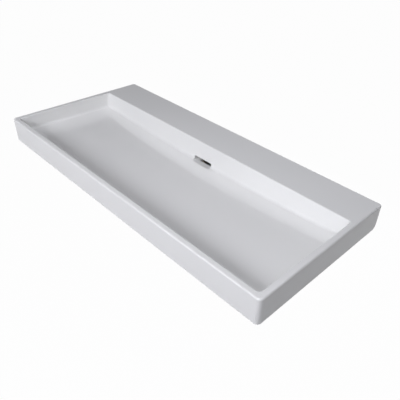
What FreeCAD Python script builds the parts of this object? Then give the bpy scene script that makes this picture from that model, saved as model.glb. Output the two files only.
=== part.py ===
import FreeCAD, Part
import math
import os

import Sketcher
from FreeCAD import Vector

# Shallow rectangular washbasin with a slot outlet at the foot of its back wall, and the
# waste fittings that hang under its deck. Millimetres. The wall is the plane y = 0, the
# front is towards -y, z is up, and x = 0 is the middle of the length.

# Driving sizes: alias, value in millimetres (or a plain count), what it is
SIZES = [
    ("basin_length", "1000", "length along the wall"),
    ("basin_depth", "450", "from the wall to the front"),
    ("basin_height", "72", "height of the visible skirt"),
    ("front_corner_round", "11", "upright front corners"),
    ("back_corner_round", "8", "upright back corners"),
    ("back_foot_round", "20", "lower back edge, which clears the tiling"),
    ("foot_round", "3", "lower edge of the skirt"),
    ("rim_outer_round", "4", "outer edge of the rim"),
    ("rim_inner_round", "2.5", "edge between the rim and the bowl"),
    ("deck_depth", "117", "from the wall to the bowl"),
    ("front_rim", "15", "width of the front rim"),
    ("side_rim", "16", "width of the rim at each end"),
    ("bowl_front_round", "9", "front corners of the bowl at the rim"),
    ("bowl_back_round", "6", "back corners of the bowl at the rim"),
    ("floor_front_round", "13", "front corners of the bowl at its foot"),
    ("floor_back_round", "16", "back corners of the bowl at its foot"),
    ("side_wall_lean", "6", "how far an end wall leans in over the height"),
    ("front_wall_lean", "6", "how far the front wall leans in over the height"),
    ("back_wall_lean", "12.5", "how far the back wall leans in over the height"),
    ("front_end_fall", "41", "depth of the floor at the front, at the ends"),
    ("front_middle_fall", "46", "depth of the floor at the front, in the middle"),
    ("back_end_fall", "45", "depth of the floor at the back, at the ends"),
    ("back_middle_fall", "61", "depth of the floor at the back, in the middle"),
    ("floor_cove", "8", "rounding between the floor and the walls"),
    ("deck_thickness", "12", "ceramic over the hollow of the deck"),
    ("wall_thickness", "12", "ceramic behind the bowl's back wall"),
    ("skirt_thickness", "14", "skirt under the rim"),
    ("rear_wall", "24", "wall that takes the fixing bolts"),
    ("slab_thickness", "9.5", "ceramic under the floor"),
    ("hollow_round", "10", "corners of the hollows underneath"),
    ("hollow_lean", "3", "draft of the hollow of the deck over the height"),
    ("rib_thickness", "10", "ribs across the hollow of the deck"),
    ("rib_spacing", "500", "between the two ribs"),
    ("rib_lift", "8", "foot of a rib above the skirt's foot"),
    ("bolt_spacing", "280", "between the two wall bolts"),
    ("bolt_height", "36", "bolts above the skirt's foot"),
    ("bolt_hole_radius", "7", "holes for the wall bolts"),
    ("slot_width", "70", "outlet slot, along the wall"),
    ("slot_height", "14.5", "outlet slot, at the bowl's wall"),
    ("slot_round", "4", "rounded corners of the slot"),
    ("slot_lip", "1.5", "rounded upper edge of the slot's mouth"),
    ("scoop_length", "16", "dip of the floor in front of the slot"),
    ("scoop_fall", "2", "depth of that dip"),
    ("sill_width", "11", "floor of the slot from the wall's foot to the drop behind it"),
    ("sill_round", "2", "rounded edge between that floor and the drop"),
    ("drop_width", "46", "drop behind the sill, along the wall"),
    ("drop_fall", "9", "depth of the drop below the slot's floor"),
    ("drop_round", "6", "upright corners of the drop"),
    ("outlet_back", "67", "axis of the outlet from the wall"),
    ("chamber_radius", "40", "outlet chamber under the deck"),
    ("chamber_wall", "10", "ceramic round the chamber"),
    ("chamber_cove", "8", "rounding under the chamber's roof"),
    ("seat_drop", "8", "ground seat of the outlet below the skirt's foot"),
    ("screw_circle_radius", "56", "circle of the tray's screws"),
    ("ear_radius", "9", "ears round the tray's screws"),
    ("ear_blend", "4", "rounding between an ear and the flange"),
    ("boss_margin", "1", "by which the ceramic stands out round the ears"),
    ("boss_height", "24", "screw bosses of the casting"),
    ("insert_radius", "4", "threaded insert, outside"),
    ("insert_length", "12", "threaded insert"),
    ("insert_ring", "0.5", "depth and width of the insert's grooves"),
    ("insert_gap", "0.1", "bonding gap round an insert"),
    ("screw_radius", "2.5", "tray screw"),
    ("screw_length", "20", "tray screw under its head"),
    ("screw_head_radius", "4.6", "head of the tray screw"),
    ("screw_head_height", "3.4", "head of the tray screw"),
    ("drive_radius", "1.5", "hexagon recess of a screw"),
    ("thread_gap", "0.05", "clearance between a screw and its thread"),
    ("hole_gap", "0.3", "clearance between a screw and a plain hole"),
    ("washer_radius", "5.2", "washer under the tray screw"),
    ("washer_thickness", "1", "washer under the tray screw"),
    ("gasket_thickness", "3", "seal between the casting and the tray"),
    ("gasket_inset", "1", "gasket back from the edges of its seat"),
    ("flange_thickness", "5", "flange of the tray"),
    ("dish_radius", "38", "inside of the tray's dish"),
    ("dish_wall", "3.5", "wall of the dish"),
    ("dish_depth", "19", "from the tray's flange to the floor of its dish"),
    ("dish_floor", "4", "floor of the dish"),
    ("dish_cove", "4", "rounding inside the dish"),
    ("gusset_thickness", "2.5", "webs under the tray's flange"),
    ("gusset_reach", "7", "webs out from the dish"),
    ("tail_radius", "20.955", "threaded tail of the waste, outside"),
    ("tail_wall", "2.6", "wall of the tail"),
    ("tail_length", "70", "waste under its flange"),
    ("trap_thread_length", "44", "lower thread of the tail, which takes the trap"),
    ("tail_groove_width", "2", "groove between the nut's thread and the trap's"),
    ("tail_groove_depth", "0.8", "depth of that groove"),
    ("tail_gap", "1.5", "clearance of the tail in the tray's hole"),
    ("waste_flange_radius", "32", "flange of the waste"),
    ("waste_flange_thickness", "3.5", "flange of the waste"),
    ("grid_seat_depth", "1.8", "recess for the grid in the flange"),
    ("grid_radius", "25", "strainer grid"),
    ("grid_thickness", "1.6", "strainer grid"),
    ("grid_dome", "2", "rise of the grid to its middle"),
    ("grid_gap", "0.2", "clearance round the grid"),
    ("grid_hole_radius", "2.6", "holes of the grid"),
    ("inner_hole_circle", "10.5", "radius of the inner ring of holes"),
    ("outer_hole_circle", "18.5", "radius of the outer ring of holes"),
    ("spider_drop", "16", "cross of the waste under its flange"),
    ("spider_height", "6", "cross of the waste"),
    ("spider_thickness", "3", "arms of the cross"),
    ("spider_hub_radius", "6", "hub of the cross"),
    ("grid_screw_length", "26", "grid screw under its head"),
    ("grid_screw_head_radius", "5", "head of the grid screw"),
    ("grid_screw_head_height", "2.5", "head of the grid screw"),
    ("flange_seal_thickness", "2", "seal under the waste's flange"),
    ("seal_inset", "1.5", "flange seal back from the flange's edge"),
    ("under_seal_thickness", "5", "tapered washer under the tray"),
    ("under_seal_radius", "33", "tapered washer, outside"),
    ("under_seal_taper", "4", "how far the tapered washer narrows"),
    ("slip_washer_thickness", "1.5", "washer between the seal and the nut"),
    ("slip_washer_radius", "31", "washer between the seal and the nut"),
    ("ring_gap", "0.3", "clearance of the rings on the tail"),
    ("nut_height", "10", "nut of the waste"),
    ("nut_flats_radius", "26", "from the nut's axis to a flat"),
    ("nut_collar_radius", "32", "round collar of the nut"),
    ("nut_collar_height", "3", "round collar of the nut"),
    ("nut_chamfer", "2", "chamfered corners of the nut"),
    ("edge_break", "0.6", "small edges taken off metal and plastic"),
    ("overrun", "5", "by which cuts run past what they cut"),
    ("screw_count", "4", "tray screws"),
    ("gusset_count", "8", "webs under the tray's flange"),
    ("inner_hole_count", "6", "holes in the grid's inner ring"),
    ("outer_hole_count", "12", "holes in the grid's outer ring"),
    ("spider_count", "3", "arms of the waste's cross"),
]

# Shares: the screws stand on the diagonals, a screw head's crown and brow, an insert's grooves
DIAGONAL_SHARE = math.sqrt(0.5)
CROWN_SHARE = 0.55
BROW_SHARE = 0.35
GROOVE_SHARES = (0.2, 0.45, 0.7)
NEARLY_ZERO = 1e-6
PICK_TOLERANCE = 1e-3

doc = FreeCAD.newDocument("slot_outlet_washbasin")
sheet = doc.addObject("Spreadsheet::Sheet", "sizes")
for row, (alias, number, note) in enumerate(SIZES, start=1):
    sheet.set("A%d" % row, alias)
    sheet.set("B%d" % row, number)
    sheet.setAlias("B%d" % row, alias)
    sheet.set("C%d" % row, note)
doc.recompute()


class Size:
    """A size worked out from the sheet: its present number and the expression for it."""

    def __init__(self, text, number):
        self.text = text
        self.number = number

    def _with(self, other, sign, number):
        return Size("(%s %s %s)" % (self.text, sign, other.text), number)

    def __add__(self, other):
        other = as_size(other)
        return self._with(other, "+", self.number + other.number)

    def __sub__(self, other):
        other = as_size(other)
        return self._with(other, "-", self.number - other.number)

    def __mul__(self, other):
        other = as_size(other)
        return self._with(other, "*", self.number * other.number)

    def __truediv__(self, other):
        other = as_size(other)
        return self._with(other, "/", self.number / other.number)

    def __neg__(self):
        return Size("(0 - %s)" % self.text, -self.number)


def as_size(value):
    return value if isinstance(value, Size) else Size(repr(value), float(value))


def size(alias):
    return Size("sizes.%s" % alias, float(sheet.get(alias)))


ZERO = as_size(0)


def bind(thing, prop, value):
    thing.setExpression(prop, value.text)


# Bodies and sketches


def new_body(label):
    body = doc.addObject("PartDesign::Body", label)
    body.Label = label
    return body


def new_sketch(body, name, role, offset=None):
    sketch = body.newObject("Sketcher::SketchObject", name)
    plane = [item for item in body.Origin.OriginFeatures if item.Role == role][0]
    sketch.AttachmentSupport = [(plane, "")]
    sketch.MapMode = "FlatFace"
    if offset is not None:
        bind(sketch, "AttachmentOffset.Base.z", offset)
    return sketch


def hold(sketch, line, end, x=None, y=None):
    """Holds one end of a line at sizes from the sketch's origin."""
    for kind, away, axis in (("DistanceX", x, -2), ("DistanceY", y, -1)):
        if away is None:
            continue
        if abs(away.number) < NEARLY_ZERO:
            sketch.addConstraint(Sketcher.Constraint("PointOnObject", line, end, axis))
            continue
        ends = (-1, 1, line, end) if away.number > 0 else (line, end, -1, 1)
        distance = away if away.number > 0 else -away
        index = sketch.addConstraint(Sketcher.Constraint(kind, *ends, distance.number))
        bind(sketch, "Constraints[%d]" % index, distance)


def hold_radius(sketch, curve, radius):
    index = sketch.addConstraint(Sketcher.Constraint("Radius", curve, radius.number))
    bind(sketch, "Constraints[%d]" % index, radius)


def polygon(sketch, corners):
    """A closed outline of straight lines through the corners, given as sizes."""
    points = [Vector(x.number, y.number, 0) for x, y in corners]
    lines = [
        sketch.addGeometry(Part.LineSegment(start, end))
        for start, end in zip(points, points[1:] + points[:1])
    ]
    for line, following in zip(lines, lines[1:] + lines[:1]):
        sketch.addConstraint(Sketcher.Constraint("Coincident", line, 2, following, 1))
    for line, (x, y) in zip(lines, corners):
        hold(sketch, line, 1, x, y)


def circle(sketch, radius, x=ZERO, y=ZERO):
    curve = Part.Circle(Vector(x.number, y.number, 0), Vector(0, 0, 1), radius.number)
    index = sketch.addGeometry(curve)
    hold(sketch, index, 3, x, y)
    hold_radius(sketch, index, radius)


def rounded_rectangle(sketch, half, front, back, front_round, back_round):
    """A rectangle about x = 0 from front to back, with its own rounding at each end."""
    wide, low, high = half.number, front.number, back.number
    corners = [
        (wide - front_round.number, low + front_round.number, front_round, 270),
        (wide - back_round.number, high - back_round.number, back_round, 0),
        (back_round.number - wide, high - back_round.number, back_round, 90),
        (front_round.number - wide, low + front_round.number, front_round, 180),
    ]
    arcs = []
    for x, y, radius, start in corners:
        ring = Part.Circle(Vector(x, y, 0), Vector(0, 0, 1), radius.number)
        turn = (math.radians(start), math.radians(start + 90))
        arcs.append(sketch.addGeometry(Part.ArcOfCircle(ring, *turn)))
    lines = []
    for arc, following in zip(arcs, arcs[1:] + arcs[:1]):
        start = sketch.Geometry[arc].EndPoint
        end = sketch.Geometry[following].StartPoint
        lines.append(sketch.addGeometry(Part.LineSegment(start, end)))
    for arc, line, following in zip(arcs, lines, arcs[1:] + arcs[:1]):
        sketch.addConstraint(Sketcher.Constraint("Tangent", arc, 2, line, 1))
        sketch.addConstraint(Sketcher.Constraint("Tangent", line, 2, following, 1))
    east, north, west, south = lines
    for line in (east, west):
        sketch.addConstraint(Sketcher.Constraint("Vertical", line))
    for line in (north, south):
        sketch.addConstraint(Sketcher.Constraint("Horizontal", line))
    hold(sketch, east, 1, x=half)
    hold(sketch, west, 1, x=-half)
    hold(sketch, north, 1, y=back)
    hold(sketch, south, 1, y=front)
    for arc, (x, y, radius, start) in zip(arcs, corners):
        hold_radius(sketch, arc, radius)


def valley(sketch, half, end_height, middle_height, foot):
    """A block's cross-section whose top is one shallow arc, lowest in the middle."""
    sag = end_height - middle_height
    radius = (half * half + sag * sag) / (sag * 2)
    centre = Vector(0, middle_height.number + radius.number, 0)
    spread = math.asin(half.number / radius.number)
    low = -math.pi / 2
    ring = Part.Circle(centre, Vector(0, 0, 1), radius.number)
    arc = sketch.addGeometry(Part.ArcOfCircle(ring, low - spread, low + spread))
    corners = [(half, end_height), (half, foot), (-half, foot), (-half, end_height)]
    points = [Vector(x.number, y.number, 0) for x, y in corners]
    lines = [
        sketch.addGeometry(Part.LineSegment(start, end))
        for start, end in zip(points, points[1:])
    ]
    sketch.addConstraint(Sketcher.Constraint("Coincident", arc, 2, lines[0], 1))
    sketch.addConstraint(Sketcher.Constraint("Coincident", lines[0], 2, lines[1], 1))
    sketch.addConstraint(Sketcher.Constraint("Coincident", lines[1], 2, lines[2], 1))
    sketch.addConstraint(Sketcher.Constraint("Coincident", lines[2], 2, arc, 1))
    hold(sketch, lines[0], 1, *corners[0])
    hold(sketch, lines[1], 1, *corners[1])
    hold(sketch, lines[2], 1, *corners[2])
    hold(sketch, lines[2], 2, *corners[3])
    hold_radius(sketch, arc, radius)


# Features


def pad(body, sketch, length, name, both_ways=False, reversed_way=False):
    feature = body.newObject("PartDesign::Pad", name)
    feature.Profile = sketch
    if both_ways:
        feature.SideType = "Symmetric"
    feature.Reversed = reversed_way
    bind(feature, "Length", length)
    sketch.Visibility = False
    return feature


def pocket(body, sketch, length, name, reversed_way=False):
    feature = body.newObject("PartDesign::Pocket", name)
    feature.Profile = sketch
    feature.Reversed = reversed_way
    bind(feature, "Length", length)
    sketch.Visibility = False
    return feature


def revolve(body, sketch, name):
    """Turns a sketch on the XZ plane round the upright axis of its body."""
    feature = body.newObject("PartDesign::Revolution", name)
    feature.Profile = sketch
    feature.ReferenceAxis = (sketch, ["V_Axis"])
    sketch.Visibility = False
    return feature


def loft(body, sketches, name):
    feature = body.newObject("PartDesign::AdditiveLoft", name)
    feature.Profile = sketches[0]
    feature.Sections = sketches[1:]
    feature.Ruled = True
    return feature


def repeat_round(body, feature, count, name):
    pattern = body.newObject("PartDesign::PolarPattern", name)
    pattern.Originals = [feature]
    axis = [item for item in body.Origin.OriginFeatures if item.Role == "Z_Axis"][0]
    pattern.Axis = (axis, [""])
    bind(pattern, "Occurrences", count)
    body.Tip = pattern
    return pattern


def edge_names(shape, test):
    return ["Edge%d" % (i + 1) for i, edge in enumerate(shape.Edges) if test(edge)]


def dress(body, kind, feature, test, amount, name):
    """A fillet or chamfer on those edges of a body's feature that pass a test."""
    doc.recompute()
    edges = edge_names(feature.Shape, test)
    if not edges:
        raise RuntimeError("no edge found for %s" % name)
    dressed = body.newObject("PartDesign::%s" % kind, name)
    dressed.Base = (feature, edges)
    bind(dressed, "Radius" if kind == "Fillet" else "Size", amount)
    return dressed


def near(number, target):
    return abs(number - target) < PICK_TOLERANCE


def level(edge, height):
    """True for an edge that lies all in one level plane."""
    box = edge.BoundBox
    return near(box.ZMin, height.number) and near(box.ZMax, height.number)


def ring_edge(edge, radius, height):
    """True for a round edge about the upright axis."""
    box = edge.BoundBox
    return level(edge, height) and near(box.XMax, radius.number) and near(box.XMin, -radius.number)


def boolean(kind, label, base, tool):
    result = doc.addObject("Part::%s" % kind, label)
    result.Label = label
    result.Base = base
    result.Tool = tool
    return result


def join(label, parts):
    joined = doc.addObject("Part::MultiFuse", label)
    joined.Shapes = parts
    return joined


def at_outlet(body, up):
    """Puts a body on the upright axis of the outlet, its zero at the given height."""
    bind(body, "Placement.Base.y", -size("outlet_back"))
    bind(body, "Placement.Base.z", up)


# The casting: outside


def outer_block():
    """The outside of the casting, with its rounded lower back edge and front corners."""
    length, depth, height = size("basin_length"), size("basin_depth"), size("basin_height")
    body = new_body("outer_block")
    sketch = new_sketch(body, "end_outline", "YZ_Plane")
    polygon(sketch, [(-depth, ZERO), (ZERO, ZERO), (ZERO, height), (-depth, height)])
    block = pad(body, sketch, length, "block", both_ways=True)

    def lower_back(edge):
        return level(edge, ZERO) and near(edge.BoundBox.YMin, 0) and near(edge.BoundBox.YMax, 0)

    foot = dress(body, "Fillet", block, lower_back, size("back_foot_round"), "back_foot")

    def front_upright(edge):
        return near(edge.BoundBox.YMax, -depth.number) and near(edge.BoundBox.ZLength, height.number)

    dress(body, "Fillet", foot, front_upright, size("front_corner_round"), "front_corners")
    doc.recompute()
    return body


def rounded_block(block):
    """The skirt's lower edge runs up the back corners and widens to their rounding."""
    foot, corner = size("foot_round").number, size("back_corner_round").number
    turn = size("back_foot_round").number
    end = size("basin_length").number / 2
    height = size("basin_height").number
    radii = []
    for index, edge in enumerate(block.Shape.Edges, start=1):
        box = edge.BoundBox
        on_end = near(abs(box.XMin), end) and near(abs(box.XMax), end) and box.XLength < end
        upright = on_end and near(box.YMin, 0) and near(box.ZMax, height)
        bend = on_end and near(box.YLength, turn) and near(box.ZLength, turn)
        low = near(box.ZMax, 0) and box.YMin < -turn - PICK_TOLERANCE
        if upright:
            radii.append((index, corner, corner))
        elif bend:
            radii.append((index, foot, corner) if box.XMax < 0 else (index, corner, foot))
        elif low:
            radii.append((index, foot, foot))
    rounded = doc.addObject("Part::Fillet", "rounded_block")
    rounded.Base = block
    rounded.Edges = radii
    return rounded


def floor_heights():
    """Heights of the floor over the skirt's foot, carried on to the front and to the wall."""
    height = size("basin_height")
    run = size("basin_depth") - size("front_rim") - size("deck_depth")
    levels = []
    for place in ("end", "middle"):
        front = height - size("front_%s_fall" % place)
        back = height - size("back_%s_fall" % place)
        rise = (back - front) / run
        levels.append((front - rise * size("front_rim"), back + rise * size("deck_depth")))
    return levels


def floor_block(label, drop):
    """Everything under the dished floor, or under a surface that far below it."""
    (front_end, back_end), (front_middle, back_middle) = floor_heights()
    half = size("basin_length") / 2
    foot = -size("overrun")
    body = new_body(label)
    front = new_sketch(body, label + "_front", "XZ_Plane", size("basin_depth"))
    valley(front, half, front_end - drop, front_middle - drop, foot)
    back = new_sketch(body, label + "_back", "XZ_Plane", ZERO)
    valley(back, half, back_end - drop, back_middle - drop, foot)
    loft(body, [front, back], label + "_block")
    return body


def bowl_space():
    """The bowl: leaning walls down to the dished floor, with a cove all round."""
    height, deck = size("basin_height"), size("deck_depth")
    half = size("basin_length") / 2 - size("side_rim")
    front = size("front_rim") - size("basin_depth")
    body = new_body("bowl_walls")
    mouth = new_sketch(body, "bowl_mouth", "XY_Plane", height)
    rounds = (size("bowl_front_round"), size("bowl_back_round"))
    rounded_rectangle(mouth, half, front, -deck, *rounds)
    foot = new_sketch(body, "bowl_foot", "XY_Plane", ZERO)
    rounds = (size("floor_front_round"), size("floor_back_round"))
    lean, back = size("side_wall_lean"), -deck - size("back_wall_lean")
    rounded_rectangle(foot, half - lean, front + size("front_wall_lean"), back, *rounds)
    loft(body, [mouth, foot], "bowl_walls_loft")
    bowl = boolean("Cut", "bowl_over_floor", body, floor_block("under_bowl", ZERO))
    doc.recompute()

    def round_the_floor(edge):
        return edge.BoundBox.ZMax < height.number - PICK_TOLERANCE

    coved = doc.addObject("Part::Fillet", "bowl_space")
    coved.Base = bowl
    cove = size("floor_cove").number
    names = edge_names(bowl.Shape, round_the_floor)
    coved.Edges = [(int(name[len("Edge"):]), cove, cove) for name in names]
    return coved


# The casting: underneath


def recess_under_floor():
    """The shallow hollow inside the skirt, which keeps the floor one thickness all over."""
    body = new_body("recess_walls")
    sketch = new_sketch(body, "recess_outline", "XY_Plane", -size("overrun"))
    half = size("basin_length") / 2 - size("skirt_thickness")
    front = size("skirt_thickness") - size("basin_depth")
    corner = size("hollow_round")
    back = -size("rear_wall") - size("wall_thickness")
    rounded_rectangle(sketch, half, front, back, corner, corner)
    pad(body, sketch, size("basin_height"), "recess_block")
    under = floor_block("under_slab", size("slab_thickness"))
    return boolean("Common", "recess_under_floor", body, under)


def hollow_under_deck():
    """The deep hollow between the bowl's back wall and the wall that takes the bolts."""
    height, over = size("basin_height"), size("overrun")
    half = size("basin_length") / 2 - size("skirt_thickness")
    corner = size("hollow_round")
    body = new_body("hollow_under_deck")
    sketches = []
    for name, level_up in (("hollow_foot", -over), ("hollow_roof", height - size("deck_thickness"))):
        sketch = new_sketch(body, name, "XY_Plane", level_up)
        fall = height - level_up
        lean = size("back_wall_lean") * fall / height
        front = size("wall_thickness") - size("deck_depth") - lean
        back = -size("rear_wall") - size("hollow_lean") * level_up / height
        rounded_rectangle(sketch, half, front, back, corner, corner)
        sketches.append(sketch)
    loft(body, sketches, "hollow_loft")
    return body


def ribs():
    """Two ribs that hold the rear wall up in the kiln."""
    thickness, lift = size("rib_thickness"), size("rib_lift")
    made = []
    for side in (-1, 1):
        rib = doc.addObject("Part::Box", "rib_%s" % ("left" if side < 0 else "right"))
        bind(rib, "Length", thickness)
        bind(rib, "Width", size("deck_depth") - size("rear_wall") / 2)
        bind(rib, "Height", size("basin_height") - size("deck_thickness") / 2 - lift)
        bind(rib, "Placement.Base.x", size("rib_spacing") * side / 2 - thickness / 2)
        bind(rib, "Placement.Base.y", -size("deck_depth"))
        bind(rib, "Placement.Base.z", lift)
        made.append(rib)
    return made


def outlet_boss():
    """The round wall of the outlet chamber and the ears that take the tray's screws."""
    drop = size("seat_drop")
    body = new_body("outlet_boss")
    ring = new_sketch(body, "boss_ring", "XY_Plane", ZERO)
    circle(ring, size("chamber_radius") + size("chamber_wall"))
    pad(body, ring, size("basin_height") + drop - size("deck_thickness") / 2, "boss_wall")
    ear = new_sketch(body, "boss_ear", "XY_Plane", ZERO)
    away = size("screw_circle_radius") * DIAGONAL_SHARE
    circle(ear, size("ear_radius") + size("boss_margin"), away, away)
    ears = pad(body, ear, size("boss_height"), "boss_ears")
    repeat_round(body, ears, size("screw_count"), "boss_ears_round")
    at_outlet(body, -drop)
    return body


def slot_foot():
    """Where the leaning back wall meets the floor, in the middle of the bowl."""
    lean = size("back_wall_lean") * size("back_middle_fall") / size("basin_height")
    return -size("deck_depth") - lean


def slot_floor():
    """Height of the slot's floor, in the bottom of the dip."""
    return size("basin_height") - size("back_middle_fall") - size("scoop_fall")


def slot_throat():
    """The walls round the passage from the bowl to the chamber, down to the ground seat."""
    margin = size("chamber_wall")
    front = slot_foot() + size("sill_width") - margin
    body = new_body("slot_throat")
    sketch = new_sketch(body, "throat_outline", "XY_Plane", -size("seat_drop"))
    half = size("slot_width") / 2 + margin
    rounded_rectangle(sketch, half, front, -size("outlet_back"), margin, margin)
    height = slot_floor() + size("slot_height") + margin + size("seat_drop")
    pad(body, sketch, height, "throat_block")
    return body


def outlet_chamber():
    """The space behind the slot, open underneath, with a rounded roof."""
    body = new_body("outlet_chamber")
    mouth = new_sketch(body, "chamber_mouth", "XY_Plane", -size("overrun"))
    circle(mouth, size("chamber_radius"))
    roof = size("basin_height") - size("deck_thickness") + size("seat_drop")
    space = pad(body, mouth, roof + size("overrun"), "chamber_space")

    def round_the_roof(edge):
        return ring_edge(edge, size("chamber_radius"), roof)

    dress(body, "Fillet", space, round_the_roof, size("chamber_cove"), "chamber_roof")
    at_outlet(body, -size("seat_drop"))
    return body


def slot_space():
    """The slot in the back wall, the dip that leads to it and the drop behind its sill."""
    height, dip = size("basin_height"), size("scoop_fall")
    low, foot = slot_floor(), slot_foot()
    roof = low + size("slot_height")
    mouth = -size("deck_depth") - size("back_wall_lean") * (height - roof) / height
    start = foot - size("scoop_length")
    end = -size("outlet_back") - size("chamber_radius") / 2
    top = roof + size("slot_lip") * 4
    body = new_body("slot_space")
    sketch = new_sketch(body, "slot_profile", "YZ_Plane")
    corners = [(start, low + dip * 2), (foot, low), (end, low), (end, roof)]
    polygon(sketch, corners + [(mouth, roof), (mouth, top), (start, top)])
    space = pad(body, sketch, size("slot_width"), "slot_block", both_ways=True)
    side = size("slot_width").number / 2

    def across_the_slot(edge):
        box = edge.BoundBox
        return level(edge, roof) and near(box.YMin, mouth.number) and near(box.XLength, side * 2)

    lip = dress(body, "Fillet", space, across_the_slot, size("slot_lip"), "slot_lip_rounded")

    def round_the_side(edge):
        box = edge.BoundBox
        return near(abs(box.XMin), side) and near(abs(box.XMax), side) and box.XLength < side

    dress(body, "Fillet", lip, round_the_side, size("slot_round"), "slot_corners")
    sill, half = foot + size("sill_width"), size("drop_width") / 2
    outline = new_sketch(body, "drop_outline", "XY_Plane", low - size("drop_fall"))
    polygon(outline, [(-half, sill), (half, sill), (half, end), (-half, end)])
    drop = pad(body, outline, size("drop_fall") + size("slot_height") / 2, "drop_block")

    def upright_behind_the_sill(edge):
        box = edge.BoundBox
        return near(box.YMax, sill.number) and box.ZLength > box.XLength

    upright = dress(body, "Fillet", drop, upright_behind_the_sill, size("drop_round"), "drop_corners")

    def edge_of_the_drop(edge):
        box = edge.BoundBox
        return level(edge, low) and max(-box.XMin, box.XMax) < half.number + PICK_TOLERANCE

    dress(body, "Fillet", upright, edge_of_the_drop, size("sill_round"), "sill_rounded")
    return body


def insert_holes():
    body = new_body("insert_holes")
    sketch = new_sketch(body, "insert_hole", "XY_Plane", -size("overrun"))
    away = size("screw_circle_radius") * DIAGONAL_SHARE
    gap = size("insert_gap")
    circle(sketch, size("insert_radius") + gap, away, away)
    hole = pad(body, sketch, size("insert_length") + gap + size("overrun"), "insert_hole_pad")
    repeat_round(body, hole, size("screw_count"), "insert_holes_round")
    at_outlet(body, -size("seat_drop"))
    return body


def bolt_holes():
    made = []
    for side in (-1, 1):
        hole = doc.addObject("Part::Cylinder", "bolt_hole_%s" % ("left" if side < 0 else "right"))
        bind(hole, "Radius", size("bolt_hole_radius"))
        bind(hole, "Height", size("rear_wall") + size("overrun") * 3)
        hole.Placement.Rotation = FreeCAD.Rotation(Vector(1, 0, 0), 90)
        bind(hole, "Placement.Base.x", size("bolt_spacing") * side / 2)
        bind(hole, "Placement.Base.y", size("overrun"))
        bind(hole, "Placement.Base.z", size("bolt_height"))
        made.append(hole)
    return made


def basin_body():
    """The glazed casting, one piece with its rim, deck, bowl, slot and outlet chamber."""
    hollows = join("hollows", [recess_under_floor(), hollow_under_deck()])
    shell = boolean("Cut", "shell", rounded_block(outer_block()), hollows)
    solid = join("shell_with_boss", [shell, outlet_boss(), slot_throat()] + ribs())
    spaces = [bowl_space(), outlet_chamber(), slot_space(), insert_holes()] + bolt_holes()
    cast = boolean("Cut", "cast", solid, join("spaces", spaces))
    doc.recompute()
    outer, inner = size("rim_outer_round").number, size("rim_inner_round").number
    half = size("basin_length").number / 2 - size("side_rim").number
    front = size("front_rim").number - size("basin_depth").number
    back = -size("deck_depth").number
    radii = []
    for index, edge in enumerate(cast.Shape.Edges, start=1):
        if not level(edge, size("basin_height")):
            continue
        middle = edge.BoundBox.Center
        in_bowl = abs(middle.x) <= half + PICK_TOLERANCE
        in_bowl = in_bowl and front - PICK_TOLERANCE <= middle.y <= back + PICK_TOLERANCE
        radii.append((index, inner, inner) if in_bowl else (index, outer, outer))
    body = doc.addObject("Part::Fillet", "basin_body")
    body.Label = "basin_body"
    body.Base = cast
    body.Edges = radii
    bind(body, "Placement.Base.z", -size("bolt_height"))
    return body


# The outlet fittings, from the casting's seat downwards


def below_seat(*thicknesses):
    """Height of a piece's own zero below the ground seat of the casting."""
    level_down = -size("seat_drop") - size("bolt_height")
    for thickness in thicknesses:
        level_down = level_down - thickness
    return level_down


def place_at_outlet(body, up):
    at_outlet(body, up)
    return body


def ring_body(label, corners):
    """A piece turned about the upright axis, from its cross-section."""
    body = new_body(label)
    sketch = new_sketch(body, label + "_profile", "XZ_Plane")
    polygon(sketch, corners)
    turned = revolve(body, sketch, label + "_turned")
    return body, turned


def eared_plate(body, name, outer, ear, inner, hole, thickness):
    """A flat ring with ears for the screws, downwards from the body's zero."""
    away = size("screw_circle_radius") * DIAGONAL_SHARE
    count = size("screw_count")
    disc = new_sketch(body, name + "_disc", "XY_Plane")
    circle(disc, outer)
    pad(body, disc, thickness, name + "_plate", reversed_way=True)
    ear_sketch = new_sketch(body, name + "_ear", "XY_Plane")
    circle(ear_sketch, ear, away, away)
    ears = pad(body, ear_sketch, thickness, name + "_ear_pad", reversed_way=True)
    lobed = repeat_round(body, ears, count, name + "_ears")

    def beside_an_ear(edge):
        centre = edge.BoundBox.Center
        on_disc = near(math.hypot(centre.x, centre.y), outer.number)
        return on_disc and min(abs(centre.x), abs(centre.y)) > PICK_TOLERANCE

    dress(body, "Fillet", lobed, beside_an_ear, size("ear_blend"), name + "_ear_blends")
    middle = new_sketch(body, name + "_middle", "XY_Plane")
    circle(middle, inner)
    pocket(body, middle, thickness + size("overrun"), name + "_opening")
    screw = new_sketch(body, name + "_screw", "XY_Plane")
    circle(screw, hole, away, away)
    holes = pocket(body, screw, thickness + size("overrun"), name + "_screw_hole")
    return repeat_round(body, holes, count, name + "_screw_holes")


def tray_gasket():
    inset = size("gasket_inset")
    outer = size("chamber_radius") + size("chamber_wall") - inset
    inner = size("chamber_radius") + inset
    hole = size("screw_radius") + size("hole_gap")
    body = new_body("tray_gasket")
    ear = size("ear_radius") - inset
    eared_plate(body, "gasket", outer, ear, inner, hole, size("gasket_thickness"))
    return place_at_outlet(body, below_seat())


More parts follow.
